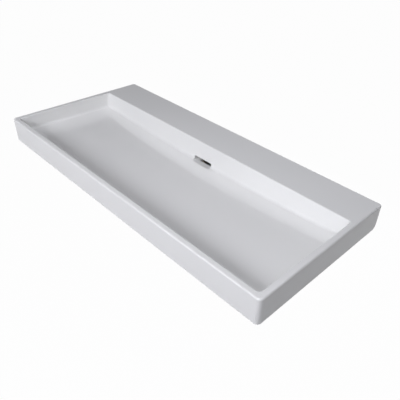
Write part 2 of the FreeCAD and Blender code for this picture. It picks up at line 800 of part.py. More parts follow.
def outlet_tray():
    """Moulded dish with a screwed flange, stiffened by webs."""
    thick, wall, deep = size("flange_thickness"), size("dish_wall"), size("dish_depth")
    inside = size("dish_radius")
    outside = inside + wall
    hole = size("tail_radius") + size("tail_gap")
    bottom = -deep - size("dish_floor")
    body = new_body("outlet_tray")
    outer = size("chamber_radius") + size("chamber_wall")
    screw = size("screw_radius") + size("hole_gap")
    eared_plate(body, "flange", outer, size("ear_radius"), inside, screw, thick)
    sketch = new_sketch(body, "dish_profile", "XZ_Plane")
    corners = [(hole, bottom), (outside, bottom), (outside, ZERO), (inside, ZERO)]
    polygon(sketch, corners + [(inside, -deep), (hole, -deep)])
    revolve(body, sketch, "dish")
    web = new_sketch(body, "gusset_profile", "XZ_Plane")
    root = outside - wall / 2
    reach = outside + size("gusset_reach")
    polygon(web, [(root, -thick), (reach, -thick), (outside, -deep), (root, -deep)])
    gusset = pad(body, web, size("gusset_thickness"), "gusset", both_ways=True)
    gussets = repeat_round(body, gusset, size("gusset_count"), "gussets")

    def inside_foot(edge):
        return ring_edge(edge, inside, -deep)

    coved = dress(body, "Fillet", gussets, inside_foot, size("dish_cove"), "dish_coved")

    def outside_foot(edge):
        return ring_edge(edge, outside, bottom)

    dress(body, "Fillet", coved, outside_foot, size("dish_wall"), "dish_rounded")
    return place_at_outlet(body, below_seat(size("gasket_thickness")))


def screw_set(label, corners, up):
    """One turned piece at each ear of the tray, all in one node."""
    body = new_body(label)
    away = size("screw_circle_radius")
    sketch = new_sketch(body, label + "_profile", "XZ_Plane")
    polygon(sketch, [(away + x, z) for x, z in corners])
    start, end = Vector(away.number, 0, 0), Vector(away.number, away.number, 0)
    axis = sketch.addGeometry(Part.LineSegment(start, end), True)
    hold(sketch, axis, 1, away, ZERO)
    hold(sketch, axis, 2, away, away)
    turned = body.newObject("PartDesign::Revolution", label + "_turned")
    turned.Profile = sketch
    turned.ReferenceAxis = (sketch, ["Axis0"])
    at_outlet(body, up)
    body.Placement.Rotation = FreeCAD.Rotation(Vector(0, 0, 1), 45)
    return body, turned


def hexagon(sketch, flats, x=ZERO):
    corner = flats / math.cos(math.pi / 6)
    turns = [math.radians(60 * step) for step in range(6)]
    polygon(sketch, [(x + corner * math.cos(turn), corner * math.sin(turn)) for turn in turns])


def tray_inserts():
    """Brass bushes bonded into the casting, grooved outside and bored for the screws."""
    radius, groove = size("insert_radius"), size("insert_ring")
    long = size("insert_length")
    bore = size("screw_radius") + size("thread_gap")
    corners = [(bore, ZERO), (radius, ZERO)]
    for share in GROOVE_SHARES:
        at = long * share
        corners += [(radius, at), (radius - groove, at)]
        corners += [(radius - groove, at + groove), (radius, at + groove)]
    corners += [(radius, long), (bore, long)]
    body, turned = screw_set("tray_inserts", corners, below_seat())
    repeat_round(body, turned, size("screw_count"), "tray_inserts_round")
    return body


def tray_washers():
    hole = size("screw_radius") + size("hole_gap")
    outer, thick = size("washer_radius"), size("washer_thickness")
    corners = [(hole, ZERO), (outer, ZERO), (outer, thick), (hole, thick)]
    level_down = below_seat(size("gasket_thickness"), size("flange_thickness"), thick)
    body, turned = screw_set("tray_washers", corners, level_down)
    repeat_round(body, turned, size("screw_count"), "tray_washers_round")
    return body


def screw_profile(radius, length, head_radius, head_height):
    """Half a button-head screw, its head below zero and its shank above."""
    crown = head_radius * CROWN_SHARE
    brow = -head_height * BROW_SHARE
    tip = size("edge_break")
    corners = [(ZERO, -head_height), (crown, -head_height), (head_radius, brow)]
    corners += [(head_radius, ZERO), (radius, ZERO), (radius, length - tip)]
    return corners + [(radius - tip, length), (ZERO, length)]


def tray_screws():
    head, tall = size("screw_head_radius"), size("screw_head_height")
    corners = screw_profile(size("screw_radius"), size("screw_length"), head, tall)
    parts = ("gasket_thickness", "flange_thickness", "washer_thickness")
    body, turned = screw_set("tray_screws", corners, below_seat(*[size(part) for part in parts]))
    recess = new_sketch(body, "screw_recess", "XY_Plane", -tall)
    hexagon(recess, size("drive_radius"), size("screw_circle_radius"))
    drive = pocket(body, recess, tall / 2, "screw_drive", reversed_way=True)
    pattern = repeat_round(body, turned, size("screw_count"), "tray_screws_round")
    pattern.Originals = [turned, drive]
    return body


def tail_zero():
    """Thicknesses between the casting's seat and the underside of the waste's flange."""
    return (size("gasket_thickness"), size("dish_depth"), -size("flange_seal_thickness"))


def flange_seal():
    inner = size("tail_radius") + size("tail_gap")
    outer = size("waste_flange_radius") - size("seal_inset")
    thick = size("flange_seal_thickness")
    corners = [(inner, ZERO), (outer, ZERO), (outer, thick), (inner, thick)]
    body, turned = ring_body("flange_seal", corners)
    return place_at_outlet(body, below_seat(size("gasket_thickness"), size("dish_depth")))


def waste_body():
    """Flanged tube with a seat for the grid and a three-armed cross for its screw."""
    outer = size("tail_radius")
    inner = outer - size("tail_wall")
    flange, thick = size("waste_flange_radius"), size("waste_flange_thickness")
    seat = thick - size("grid_seat_depth")
    mouth = size("grid_radius") + size("grid_gap")
    foot = -size("tail_length")
    tip = size("edge_break")
    groove = foot + size("trap_thread_length")
    neck, above = outer - size("tail_groove_depth"), groove + size("tail_groove_width")
    corners = [(inner, foot), (outer - tip, foot), (outer, foot + tip), (outer, groove)]
    corners += [(neck, groove), (neck, above), (outer, above), (outer, ZERO), (flange, ZERO)]
    corners += [(flange, thick - tip), (flange - tip, thick), (mouth, thick), (mouth, seat)]
    body, turned = ring_body("waste_body", corners + [(inner, seat)])
    top = -size("spider_drop")
    arm_sketch = new_sketch(body, "arm_outline", "XY_Plane", top)
    half = size("spider_thickness") / 2
    reach = inner + size("tail_wall") / 2
    polygon(arm_sketch, [(ZERO, -half), (reach, -half), (reach, half), (ZERO, half)])
    tall = size("spider_height")
    arm = pad(body, arm_sketch, tall, "arm", reversed_way=True)
    repeat_round(body, arm, size("spider_count"), "arms")
    hub_sketch = new_sketch(body, "hub_outline", "XY_Plane", top)
    circle(hub_sketch, size("spider_hub_radius"))
    pad(body, hub_sketch, tall, "hub", reversed_way=True)
    bore_sketch = new_sketch(body, "hub_bore_outline", "XY_Plane", top)
    circle(bore_sketch, size("screw_radius") + size("thread_gap"))
    pocket(body, bore_sketch, tall + size("overrun"), "hub_bore")
    return place_at_outlet(body, below_seat(*tail_zero()))


def waste_grid():
    """Shallow domed strainer with two rings of holes round its screw."""
    radius, thick, dome = size("grid_radius"), size("grid_thickness"), size("grid_dome")
    hole = size("screw_radius") + size("hole_gap")
    corners = [(hole, dome), (hole, dome + thick), (radius, thick), (radius, ZERO)]
    body, turned = ring_body("waste_grid", corners)
    over = size("overrun")
    rings = (("inner_hole", "inner_hole_circle"), ("outer_hole", "outer_hole_circle"))
    for name, alias in rings:
        sketch = new_sketch(body, name + "_outline", "XY_Plane", dome + thick + over)
        circle(sketch, size("grid_hole_radius"), size(alias))
        hole = pocket(body, sketch, dome + thick + over * 2, name)
        repeat_round(body, hole, size(name + "_count"), name + "s")
    seat = size("waste_flange_thickness") - size("grid_seat_depth")
    return place_at_outlet(body, below_seat(*tail_zero()) + seat)


def grid_screw():
    head, tall = size("grid_screw_head_radius"), size("grid_screw_head_height")
    corners = screw_profile(size("screw_radius"), size("grid_screw_length"), head, tall)
    body, turned = ring_body("grid_screw", [(x, -z) for x, z in corners])
    recess = new_sketch(body, "grid_screw_recess", "XY_Plane", tall)
    hexagon(recess, size("drive_radius"))
    pocket(body, recess, tall / 2, "grid_screw_drive")
    seat = size("waste_flange_thickness") - size("grid_seat_depth")
    crown = seat + size("grid_dome") + size("grid_thickness")
    return place_at_outlet(body, below_seat(*tail_zero()) + crown)


def under_tray(*thicknesses):
    parts = (size("gasket_thickness"), size("dish_depth"), size("dish_floor"))
    return below_seat(*parts, *thicknesses)


def under_seal():
    bore, outer = size("tail_radius") + size("ring_gap"), size("under_seal_radius")
    thick, taper = size("under_seal_thickness"), size("under_seal_taper")
    corners = [(bore, ZERO), (outer, ZERO), (outer - taper, -thick), (bore, -thick)]
    body, turned = ring_body("under_seal", corners)
    return place_at_outlet(body, under_tray())


def slip_washer():
    bore, outer = size("tail_radius") + size("ring_gap"), size("slip_washer_radius")
    thick = size("slip_washer_thickness")
    corners = [(bore, ZERO), (outer, ZERO), (outer, -thick), (bore, -thick)]
    body, turned = ring_body("slip_washer", corners)
    return place_at_outlet(body, under_tray(size("under_seal_thickness")))


def backnut():
    """Collared six-sided nut, its corners taken off as turned nuts are."""
    bore = size("tail_radius") + size("thread_gap")
    collar, rise = size("nut_collar_radius"), size("nut_collar_height")
    tall, cut = size("nut_height"), size("nut_chamfer")
    flats = size("nut_flats_radius")
    corner = flats / math.cos(math.pi / 6)
    corners = [(bore, ZERO), (collar, ZERO), (collar, -rise), (corner, -rise)]
    corners += [(corner, cut / 2 - tall), (corner - cut, -tall), (bore, -tall)]
    body, turned = ring_body("backnut", corners)
    sketch = new_sketch(body, "nut_flats", "XY_Plane", -rise)
    circle(sketch, collar + size("overrun"))
    hexagon(sketch, flats)
    pocket(body, sketch, tall, "nut_flats_cut")
    stack = (size("under_seal_thickness"), size("slip_washer_thickness"))
    return place_at_outlet(body, under_tray(*stack))


PIECES = [
    basin_body,
    tray_gasket,
    outlet_tray,
    tray_inserts,
    tray_washers,
    tray_screws,
    flange_seal,
    waste_body,
    waste_grid,
    grid_screw,
    under_seal,
    slip_washer,
    backnut,
]

pieces = [make() for make in PIECES]
doc.recompute()

failed = [item.Label for item in doc.Objects if {"Invalid", "Error"} & set(item.State)]
if failed:
    raise RuntimeError("did not build: %s" % ", ".join(failed))
solids = [item for item in doc.Objects if item.isDerivedFrom("Part::Feature")]
solids = [item for item in solids if not item.isDerivedFrom("Sketcher::SketchObject")]
for item in solids:
    if item.Shape.isNull() or not item.Shape.isValid() or not item.Shape.Solids:
        raise RuntimeError("%s has no valid solid" % item.Label)

os.makedirs("parts", exist_ok=True)
for piece in pieces:
    piece.Shape.exportStep("parts/%s.step" % piece.Label)
    box = piece.Shape.BoundBox
    print("%s: %d solid(s), %.0f mm3" % (piece.Label, len(piece.Shape.Solids), piece.Shape.Volume))
    print("    x %.1f..%.1f  y %.1f..%.1f" % (box.XMin, box.XMax, box.YMin, box.YMax), end="")
    print("  z %.1f..%.1f" % (box.ZMin, box.ZMax))
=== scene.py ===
import math

import bpy
from bpy.props import FloatProperty, FloatVectorProperty, IntProperty, PointerProperty
from mathutils import Matrix, Vector


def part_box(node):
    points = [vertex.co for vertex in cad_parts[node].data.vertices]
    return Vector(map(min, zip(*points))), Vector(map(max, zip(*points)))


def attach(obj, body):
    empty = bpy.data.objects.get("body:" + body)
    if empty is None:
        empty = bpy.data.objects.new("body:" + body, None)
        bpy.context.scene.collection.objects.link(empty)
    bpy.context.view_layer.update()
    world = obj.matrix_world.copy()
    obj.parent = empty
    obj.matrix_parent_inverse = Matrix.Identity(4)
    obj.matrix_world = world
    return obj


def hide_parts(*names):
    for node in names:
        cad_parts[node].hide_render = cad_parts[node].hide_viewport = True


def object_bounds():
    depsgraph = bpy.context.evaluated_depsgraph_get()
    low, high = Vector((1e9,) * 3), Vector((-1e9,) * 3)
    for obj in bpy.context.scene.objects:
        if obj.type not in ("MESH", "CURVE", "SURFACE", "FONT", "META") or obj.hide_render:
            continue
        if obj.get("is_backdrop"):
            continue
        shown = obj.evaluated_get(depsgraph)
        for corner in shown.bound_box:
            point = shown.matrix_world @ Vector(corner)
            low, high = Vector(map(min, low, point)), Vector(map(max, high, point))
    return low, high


bl_info = {
    "name": "Slot-outlet washbasin",
    "version": (1, 0, 0),
    "blender": (4, 5, 0),
    "location": "3D View > Sidebar > Washbasin",
    "description": "Glazes the packed washbasin, threads its waste and sets up the studio",
    "category": "Object",
}

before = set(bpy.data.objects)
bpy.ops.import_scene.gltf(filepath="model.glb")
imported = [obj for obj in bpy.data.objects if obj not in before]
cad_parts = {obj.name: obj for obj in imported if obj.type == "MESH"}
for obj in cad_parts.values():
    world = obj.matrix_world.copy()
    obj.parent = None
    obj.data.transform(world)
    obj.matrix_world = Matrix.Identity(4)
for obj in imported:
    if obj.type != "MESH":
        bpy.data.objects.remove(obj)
loaded_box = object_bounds()

BODY = "root"
CASTING_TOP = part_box("basin_body")[1].z
WASTE_LOW, WASTE_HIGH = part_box("waste_body")
OUTLET = (WASTE_LOW + WASTE_HIGH) / 2


# Colours and nodes

# The sockets of Math and Mix nodes share their names, so they go by number
MIX_FACTOR = 0
MIX_NUMBER_A, MIX_NUMBER_B, MIXED_NUMBER = 2, 3, 0
MIX_COLOUR_A, MIX_COLOUR_B, MIXED_COLOUR = 6, 7, 2


def linear(hex_colour):
    """An sRGB hex colour as the linear values that shaders take."""
    channels = [int(hex_colour[i : i + 2], 16) / 255 for i in (1, 3, 5)]
    curve = [c / 12.92 if c <= 0.04045 else ((c + 0.055) / 1.055) ** 2.4 for c in channels]
    return (*curve, 1.0)


def add_node(tree, kind, settings=None, links=None):
    """Adds a node, sets its fields or sockets, and links other nodes' sockets into it."""
    node = tree.nodes.new(kind)
    for key, value in (settings or {}).items():
        if isinstance(key, str) and key in node.bl_rna.properties:
            setattr(node, key, value)
        else:
            node.inputs[key].default_value = value
    for key, socket in (links or {}).items():
        tree.links.new(socket, node.inputs[key])
    return node


def new_material(name, colour, **settings):
    """A material with one Principled shader, and the flat colour that solid view shows."""
    material = bpy.data.materials.new(name)
    material.use_nodes = True
    material.diffuse_color = colour
    tree = material.node_tree
    tree.nodes.clear()
    shader = add_node(tree, "ShaderNodeBsdfPrincipled", {"Base Color": colour, **settings})
    add_node(tree, "ShaderNodeOutputMaterial", links={"Surface": shader.outputs[0]})
    place = add_node(tree, "ShaderNodeTexCoord").outputs["Object"]
    return material, tree, shader, place


# The casting

# Roughness from thin to pooled glaze: a mirror that only just softens
GLAZE_ROUGHNESS = (0.01, 0.03)
CLAY_ROUGHNESS = 0.85


def fireclay_glaze(sizes, tones):
    """Fireclay under an opaque white glaze: deep gloss with slow waves from the firing."""
    material, tree, shader, place = new_material("fireclay_glaze", tones.glaze, IOR=1.6)
    at_place = {"Vector": place}
    # Where the glaze lies thicker its white turns a little cooler, over a hand's breadth
    noise = {"Scale": 1 / sizes.pooling_width, "Detail": 1.0}
    pooled = add_node(tree, "ShaderNodeTexNoise", noise, at_place).outputs["Fac"]
    mix = {"data_type": "RGBA", MIX_COLOUR_A: tones.glaze, MIX_COLOUR_B: tones.glaze_pooled}
    white = add_node(tree, "ShaderNodeMix", mix, {MIX_FACTOR: pooled}).outputs[MIXED_COLOUR]
    thin, thick = GLAZE_ROUGHNESS
    ramp = {"From Min": 0.3, "From Max": 0.7, "To Min": thin, "To Max": thick}
    gloss = add_node(tree, "ShaderNodeMapRange", ramp, {"Value": pooled}).outputs[0]
    # Slow waves bend the mirrored walls in the floor, and spraying leaves a faint peel
    bumps = None
    for length, height in (
        (sizes.wave_length, sizes.wave_height),
        (sizes.peel_length, sizes.peel_height),
    ):
        noise = {"Scale": 1 / length, "Detail": 0.0}
        rise = add_node(tree, "ShaderNodeTexNoise", noise, at_place).outputs["Fac"]
        links = {"Height": rise} if bumps is None else {"Height": rise, "Normal": bumps}
        bumps = add_node(tree, "ShaderNodeBump", {"Distance": height}, links).outputs["Normal"]
    # The foot and the ground seat stood on the kiln shelf: sandy bare clay up to a wiped line,
    # which wanders and fades out over a third of the height that was wiped
    height = add_node(tree, "ShaderNodeSeparateXYZ", links=at_place).outputs["Z"]
    noise = {"Scale": 1 / sizes.wipe_wobble, "Detail": 2.0}
    wiping = add_node(tree, "ShaderNodeTexNoise", noise, at_place).outputs["Fac"]
    foot = CASTING_TOP - sizes.skirt_height
    scale = {"operation": "MULTIPLY_ADD", 1: sizes.wipe_height, 2: foot}
    line = add_node(tree, "ShaderNodeMath", scale, {0: wiping}).outputs[0]
    take_off = {"operation": "SUBTRACT"}
    above = add_node(tree, "ShaderNodeMath", take_off, {0: height, 1: line}).outputs[0]
    ramp = {"From Max": sizes.wipe_height / 3}
    glazed = add_node(tree, "ShaderNodeMapRange", ramp, {"Value": above}).outputs[0]
    noise = {"Scale": 1 / sizes.clay_grain, "Detail": 3.0}
    grain = add_node(tree, "ShaderNodeTexNoise", noise, at_place).outputs["Fac"]
    mix = {"data_type": "RGBA", MIX_COLOUR_A: tones.clay, MIX_COLOUR_B: tones.clay_dark}
    clay = add_node(tree, "ShaderNodeMix", mix, {MIX_FACTOR: grain}).outputs[MIXED_COLOUR]
    links = {MIX_FACTOR: glazed, MIX_COLOUR_A: clay, MIX_COLOUR_B: white}
    colour = add_node(tree, "ShaderNodeMix", {"data_type": "RGBA"}, links).outputs[MIXED_COLOUR]
    mix = {"data_type": "FLOAT", MIX_NUMBER_A: CLAY_ROUGHNESS}
    links = {MIX_FACTOR: glazed, MIX_NUMBER_B: gloss}
    roughness = add_node(tree, "ShaderNodeMix", mix, links).outputs[MIXED_NUMBER]
    tree.links.new(colour, shader.inputs["Base Color"])
    tree.links.new(roughness, shader.inputs["Roughness"])
    tree.links.new(bumps, shader.inputs["Normal"])
    return material


# The outlet fittings

# How much duller a smear of handling leaves the metal
SMEAR_DULLING = 1.8
# The middle of a round stands back from its corner by this share of the radius, each way
ROUND_CUT = 0.3
HUB_COLUMNS = 48
CROSS_ARMS = 3
# Edges that turn by more degrees than this stay sharp in the shading of a new piece
SHARP_TURN = 40


def moulded_plastic(name, colour, sizes, roughness):
    """Injection-moulded white plastic: a waxy half-gloss with a fine spark-eroded grain."""
    material, tree, shader, place = new_material(name, colour, IOR=1.49, Roughness=roughness)
    noise = {"Scale": 1 / sizes.mould_grain, "Detail": 2.0}
    grain = add_node(tree, "ShaderNodeTexNoise", noise, {"Vector": place}).outputs["Fac"]
    relief = {"Distance": sizes.mould_grain_height}
    bump = add_node(tree, "ShaderNodeBump", relief, {"Height": grain}).outputs["Normal"]
    tree.links.new(bump, shader.inputs["Normal"])
    # Plastic lets a little light in, which softens its edges
    shader.inputs["Subsurface Weight"].default_value = 0.15
    shader.inputs["Subsurface Scale"].default_value = sizes.plastic_depth
    return material


def moulded_rubber(name, sizes, tones):
    """Moulded EPDM: near black and matt, with a grey bloom of the talc it was packed in."""
    material, tree, shader, place = new_material(name, tones.rubber, IOR=1.5, Roughness=0.7)
    noise = {"Scale": 1 / sizes.bloom_width, "Detail": 4.0}
    bloom = add_node(tree, "ShaderNodeTexNoise", noise, {"Vector": place}).outputs["Fac"]
    mix = {"data_type": "RGBA", MIX_COLOUR_A: tones.rubber, MIX_COLOUR_B: tones.rubber_bloom}
    colour = add_node(tree, "ShaderNodeMix", mix, {MIX_FACTOR: bloom}).outputs[MIXED_COLOUR]
    tree.links.new(colour, shader.inputs["Base Color"])
    relief = {"Distance": sizes.mould_grain_height}
    bump = add_node(tree, "ShaderNodeBump", relief, {"Height": bloom}).outputs["Normal"]
    tree.links.new(bump, shader.inputs["Normal"])
    return material


def turned_metal(name, colour, sizes, ring_height, roughness):
    """Metal turned on a lathe: fine rings round the upright axis, which stretch its shine."""
    material, tree, shader, place = new_material(name, colour, Metallic=1.0)
    centre = {"operation": "SUBTRACT", 1: OUTLET}
    centred = add_node(tree, "ShaderNodeVectorMath", centre, {0: place}).outputs[0]
    wave = {"wave_type": "RINGS", "rings_direction": "Z", "Scale": 1 / sizes.tool_mark}
    wave.update({"Distortion": 0.4, "Detail": 1.0})
    rings = add_node(tree, "ShaderNodeTexWave", wave, {"Vector": centred}).outputs["Fac"]
    relief = {"Distance": ring_height}
    bump = add_node(tree, "ShaderNodeBump", relief, {"Height": rings}).outputs["Normal"]
    tree.links.new(bump, shader.inputs["Normal"])
    # Handling leaves faint smears that dull the shine here and there
    noise = {"Scale": 1 / sizes.smear_width, "Detail": 3.0}
    smears = add_node(tree, "ShaderNodeTexNoise", noise, {"Vector": place}).outputs["Fac"]
    ramp = {"From Min": 0.35, "From Max": 0.75}
    ramp.update({"To Min": roughness, "To Max": roughness * SMEAR_DULLING})
    dull = add_node(tree, "ShaderNodeMapRange", ramp, {"Value": smears}).outputs[0]
    tree.links.new(dull, shader.inputs["Roughness"])
    return material


def threaded_radius(radius, sizes, height, turn):
    """Radius of a thread at a height and angle: a rounded V that climbs one pitch a turn."""
    phase = (height / sizes.thread_pitch - turn / (2 * math.pi)) % 1.0
    depth = (1 - math.cos(2 * math.pi * phase)) / 2
    return radius - sizes.thread_depth * depth


def thread_runs(low, high, sizes):
    """Runs of one length of thread, close enough together to show its form."""
    steps = max(2, round((high - low) / sizes.thread_pitch * sizes.rows_per_turn))
    heights = [low + (high - low) * step / steps for step in range(steps + 1)]
    return [(sizes.tail_radius, height, True) for height in heights]


def tail_outline(sizes):
    """The waste's cross-section as runs of (radius, height over the flange's foot, threaded)."""
    tail, flange = sizes.tail_radius, sizes.flange_radius
    bore = tail - sizes.tail_wall
    top = sizes.flange_thickness
    seat = top - sizes.grid_seat_depth
    mouth = sizes.grid_radius
    soft = sizes.edge_round
    neck = -sizes.plain_neck
    foot = -sizes.tail_length
    groove_low = foot + sizes.trap_thread
    groove_high = groove_low + sizes.groove_width
    groove = tail - sizes.groove_depth
    return [
        (bore, seat, False),
        (bore, foot + soft, False),
        (bore + soft, foot, False),
        (tail - sizes.thread_depth, foot, False),
        *thread_runs(foot + soft, groove_low - soft, sizes),
        (groove, groove_low, False),
        (groove, groove_high, False),
        *thread_runs(groove_high + soft, neck, sizes),
        (tail, neck + soft, False),
        (tail, 0.0, False),
        (flange, 0.0, False),
        (flange, top - soft, False),
        (flange - soft * ROUND_CUT, top - soft * ROUND_CUT, False),
        (flange - soft, top, False),
        (mouth, top, False),
        (mouth, seat, False),
    ]


def add_turned_skin(points, faces, rings):
    """Adds a closed skin round the outlet's axis, over rings of (radii at each turn, height)."""
    start = len(points)
    columns = len(rings[0][0])
    for radii, height in rings:
        for column, radius in enumerate(radii):
            turn = 2 * math.pi * column / columns
            x, y = radius * math.cos(turn), radius * math.sin(turn)
            points.append((OUTLET.x + x, OUTLET.y + y, height))
    for ring in range(len(rings)):
        after = (ring + 1) % len(rings)
        for column in range(columns):
            nearby = (column + 1) % columns
            corners = (ring, column), (ring, nearby), (after, nearby), (after, column)
            faces.append([start + r * columns + c for r, c in corners])


def add_cross_arms(points, faces, sizes, low, top):
    """Adds the arms that hold the hub, each from inside the hub's wall to inside the tail's."""
    inner = (sizes.hub_radius + sizes.hub_bore) / 2
    outer = sizes.tail_radius - sizes.tail_wall / 2
    half = sizes.cross_thickness / 2
    arm_outline = ((inner, -half), (outer, -half), (outer, half), (inner, half))
    sides = ((0, 1, 5, 4), (1, 2, 6, 5), (2, 3, 7, 6), (3, 0, 4, 7), (3, 2, 1, 0), (4, 5, 6, 7))
    for arm in range(CROSS_ARMS):
        turn = Matrix.Rotation(2 * math.pi * arm / CROSS_ARMS, 3, "Z")
        start = len(points)
        for height in (low, top):
            for x, y in arm_outline:
                corner = turn @ Vector((x, y, 0))
                points.append((OUTLET.x + corner.x, OUTLET.y + corner.y, height))
        faces += [[start + corner for corner in side] for side in sides]


def threaded_waste(sizes):
    """The waste as one mesh: its turned body with both threads, and the cross inside."""
    zero = WASTE_HIGH.z - sizes.flange_thickness
    columns = sizes.thread_columns
    turns = [2 * math.pi * column / columns for column in range(columns)]
    rings = []
    for radius, height, threaded in tail_outline(sizes):
        if threaded:
            radii = [threaded_radius(radius, sizes, height, turn) for turn in turns]
        else:
            radii = [radius] * columns
        rings.append((radii, zero + height))
    points, faces = [], []
    add_turned_skin(points, faces, rings)
    top = zero - sizes.cross_drop
    low = top - sizes.cross_height
    add_cross_arms(points, faces, sizes, low, top)
    outside, bore = [sizes.hub_radius] * HUB_COLUMNS, [sizes.hub_bore] * HUB_COLUMNS
    add_turned_skin(points, faces, [(outside, low), (outside, top), (bore, top), (bore, low)])
    mesh = bpy.data.meshes.new("threaded_waste")
    mesh.from_pydata(points, [], faces)
    mesh.update()
    mesh.shade_smooth()
    piece = bpy.data.objects.new("threaded_waste", mesh)
    bpy.context.collection.objects.link(piece)
    return piece


def smooth_by_angle(piece, degrees):
    """Shades a new piece smooth, but keeps the edges that turn by more than the angle."""
    bpy.ops.object.select_all(action="DESELECT")
    piece.select_set(True)
    bpy.context.view_layer.objects.active = piece
    bpy.ops.object.shade_smooth_by_angle(angle=math.radians(degrees))


def finish_node(name, material):
    """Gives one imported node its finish, in place of the plain one it came with."""
    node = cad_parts[name]
    node.data.materials.clear()
    node.data.materials.append(material)


# The studio

# Each softbox: its name, its place, how wide and how high it glows, and its power in watts. The
# front and top ones light the glaze as in the photograph, the back one the back and underside
SOFTBOXES = (
    ("front_softbox", (0.2, -1.65, 0.75), 2.6, 0.5, 22.0),
    ("top_softbox", (0.3, -0.3, 1.6), 2.2, 0.7, 14.4),
    ("back_softbox", (0.0, 1.5, -0.4), 1.6, 0.5, 6.0),
)
LIT_POINT = (0.0, -0.25, 0.0)
# A softbox glows to the full over the middle of its cloth and dies away towards its frame, so
# that its glow is this share of the cloth's width and height
GLOW_SHARE = 0.8
PURE_WHITE = (1.0, 1.0, 1.0, 1.0)
# Matt floor paint: the breadth of its grit in metres, and its roughness from least to most
GRIT_WIDTH = 0.025
PAINT_ROUGHNESS = (0.88, 0.92)


def seen_directly(tree):
    """1 for rays from the camera, a mirror image or glass, and 0 for those that only light."""
    rays = add_node(tree, "ShaderNodeLightPath").outputs
    direct = rays["Is Camera Ray"]
    adding = {"operation": "ADD", "use_clamp": True}
    for kind in ("Is Glossy Ray", "Is Transmission Ray"):
        links = {0: direct, 1: rays[kind]}
        direct = add_node(tree, "ShaderNodeMath", adding, links).outputs[0]
    return direct


def studio_white(name, colour, kept_share):
    """Matt floor paint: pure white to the eye and in mirror images, with a trace of shadow."""
    material, tree, shader, place = new_material(name, colour)
    noise = {"Scale": 1 / GRIT_WIDTH, "Detail": 2.0}
    grit = add_node(tree, "ShaderNodeTexNoise", noise, {"Vector": place}).outputs["Fac"]
    least, most = PAINT_ROUGHNESS
    ramp = {"To Min": least, "To Max": most}
    dull = add_node(tree, "ShaderNodeMapRange", ramp, {"Value": grit}).outputs[0]
    tree.links.new(dull, shader.inputs["Roughness"])
    glow = {"Color": PURE_WHITE, "Strength": 1.0}
    paper = add_node(tree, "ShaderNodeEmission", glow).outputs[0]
    scale = {"operation": "MULTIPLY", 1: 1 - kept_share}
    share = add_node(tree, "ShaderNodeMath", scale, {0: seen_directly(tree)}).outputs[0]
    links = {0: share, 1: shader.outputs[0], 2: paper}
    painted = add_node(tree, "ShaderNodeMixShader", links=links).outputs[0]
    # A floor has no underside to hide the basin when it is looked at from below
    under = add_node(tree, "ShaderNodeNewGeometry").outputs["Backfacing"]
    clear = add_node(tree, "ShaderNodeBsdfTransparent").outputs[0]
    links = {0: under, 1: painted, 2: clear}
    mixed = add_node(tree, "ShaderNodeMixShader", links=links).outputs[0]
    output = [node for node in tree.nodes if node.type == "OUTPUT_MATERIAL"][0]
    tree.links.new(mixed, output.inputs["Surface"])
    return material


def studio_world(sizes, colour):
    """Even light from all round, seen as a white backdrop that ends in a dim ceiling."""
    world = bpy.data.worlds.new("studio_world")
    world.use_nodes = True
    tree = world.node_tree
    tree.nodes.clear()
    even = {"Color": colour, "Strength": sizes.room_light}
    room = add_node(tree, "ShaderNodeBackground", even).outputs[0]
    # Mirror images of the backdrop fade to the ceiling; the camera always sees the white
    place = add_node(tree, "ShaderNodeTexCoord").outputs["Generated"]
    height = add_node(tree, "ShaderNodeSeparateXYZ", links={"Vector": place}).outputs["Z"]
    ramp = {"From Min": math.sin(sizes.backdrop_top), "From Max": math.sin(sizes.ceiling_rise)}
    ramp.update({"To Min": 1.0, "To Max": sizes.ceiling_light})
    mirrored = add_node(tree, "ShaderNodeMapRange", ramp, {"Value": height}).outputs[0]
    looking = add_node(tree, "ShaderNodeLightPath").outputs["Is Camera Ray"]
    larger = {"operation": "MAXIMUM"}
    white = add_node(tree, "ShaderNodeMath", larger, {0: mirrored, 1: looking}).outputs[0]
    glow = {"Color": PURE_WHITE}
    paper = add_node(tree, "ShaderNodeBackground", glow, {"Strength": white}).outputs[0]
    links = {0: seen_directly(tree), 1: room, 2: paper}
    mixed = add_node(tree, "ShaderNodeMixShader", links=links).outputs[0]
    add_node(tree, "ShaderNodeOutputWorld", links={"Surface": mixed})
    return world


def soften_frame(lamp):
    """Lets a lamp's glow die away towards its frame, so its mirror images have soft edges."""
    lamp.use_nodes = True
    tree = lamp.node_tree
    tree.nodes.clear()
    on_cloth = add_node(tree, "ShaderNodeNewGeometry").outputs["Parametric"]
    sides = add_node(tree, "ShaderNodeSeparateXYZ", links={"Vector": on_cloth}).outputs
    # Half the cloth's width from its middle is the frame
    ramp = {"interpolation_type": "SMOOTHSTEP", "From Min": 0.5, "From Max": GLOW_SHARE - 0.5}
    lit = []
    for side in (sides["X"], sides["Y"]):
        middle = {"operation": "SUBTRACT", 1: 0.5}
        away = add_node(tree, "ShaderNodeMath", middle, {0: side}).outputs[0]
        away = add_node(tree, "ShaderNodeMath", {"operation": "ABSOLUTE"}, {0: away}).outputs[0]
        lit.append(add_node(tree, "ShaderNodeMapRange", ramp, {"Value": away}).outputs[0])
    links = dict(enumerate(lit))
    glow = add_node(tree, "ShaderNodeMath", {"operation": "MULTIPLY"}, links).outputs[0]
    shine = add_node(tree, "ShaderNodeEmission", links={"Strength": glow}).outputs[0]
    add_node(tree, "ShaderNodeOutputLight", links={"Surface": shine})


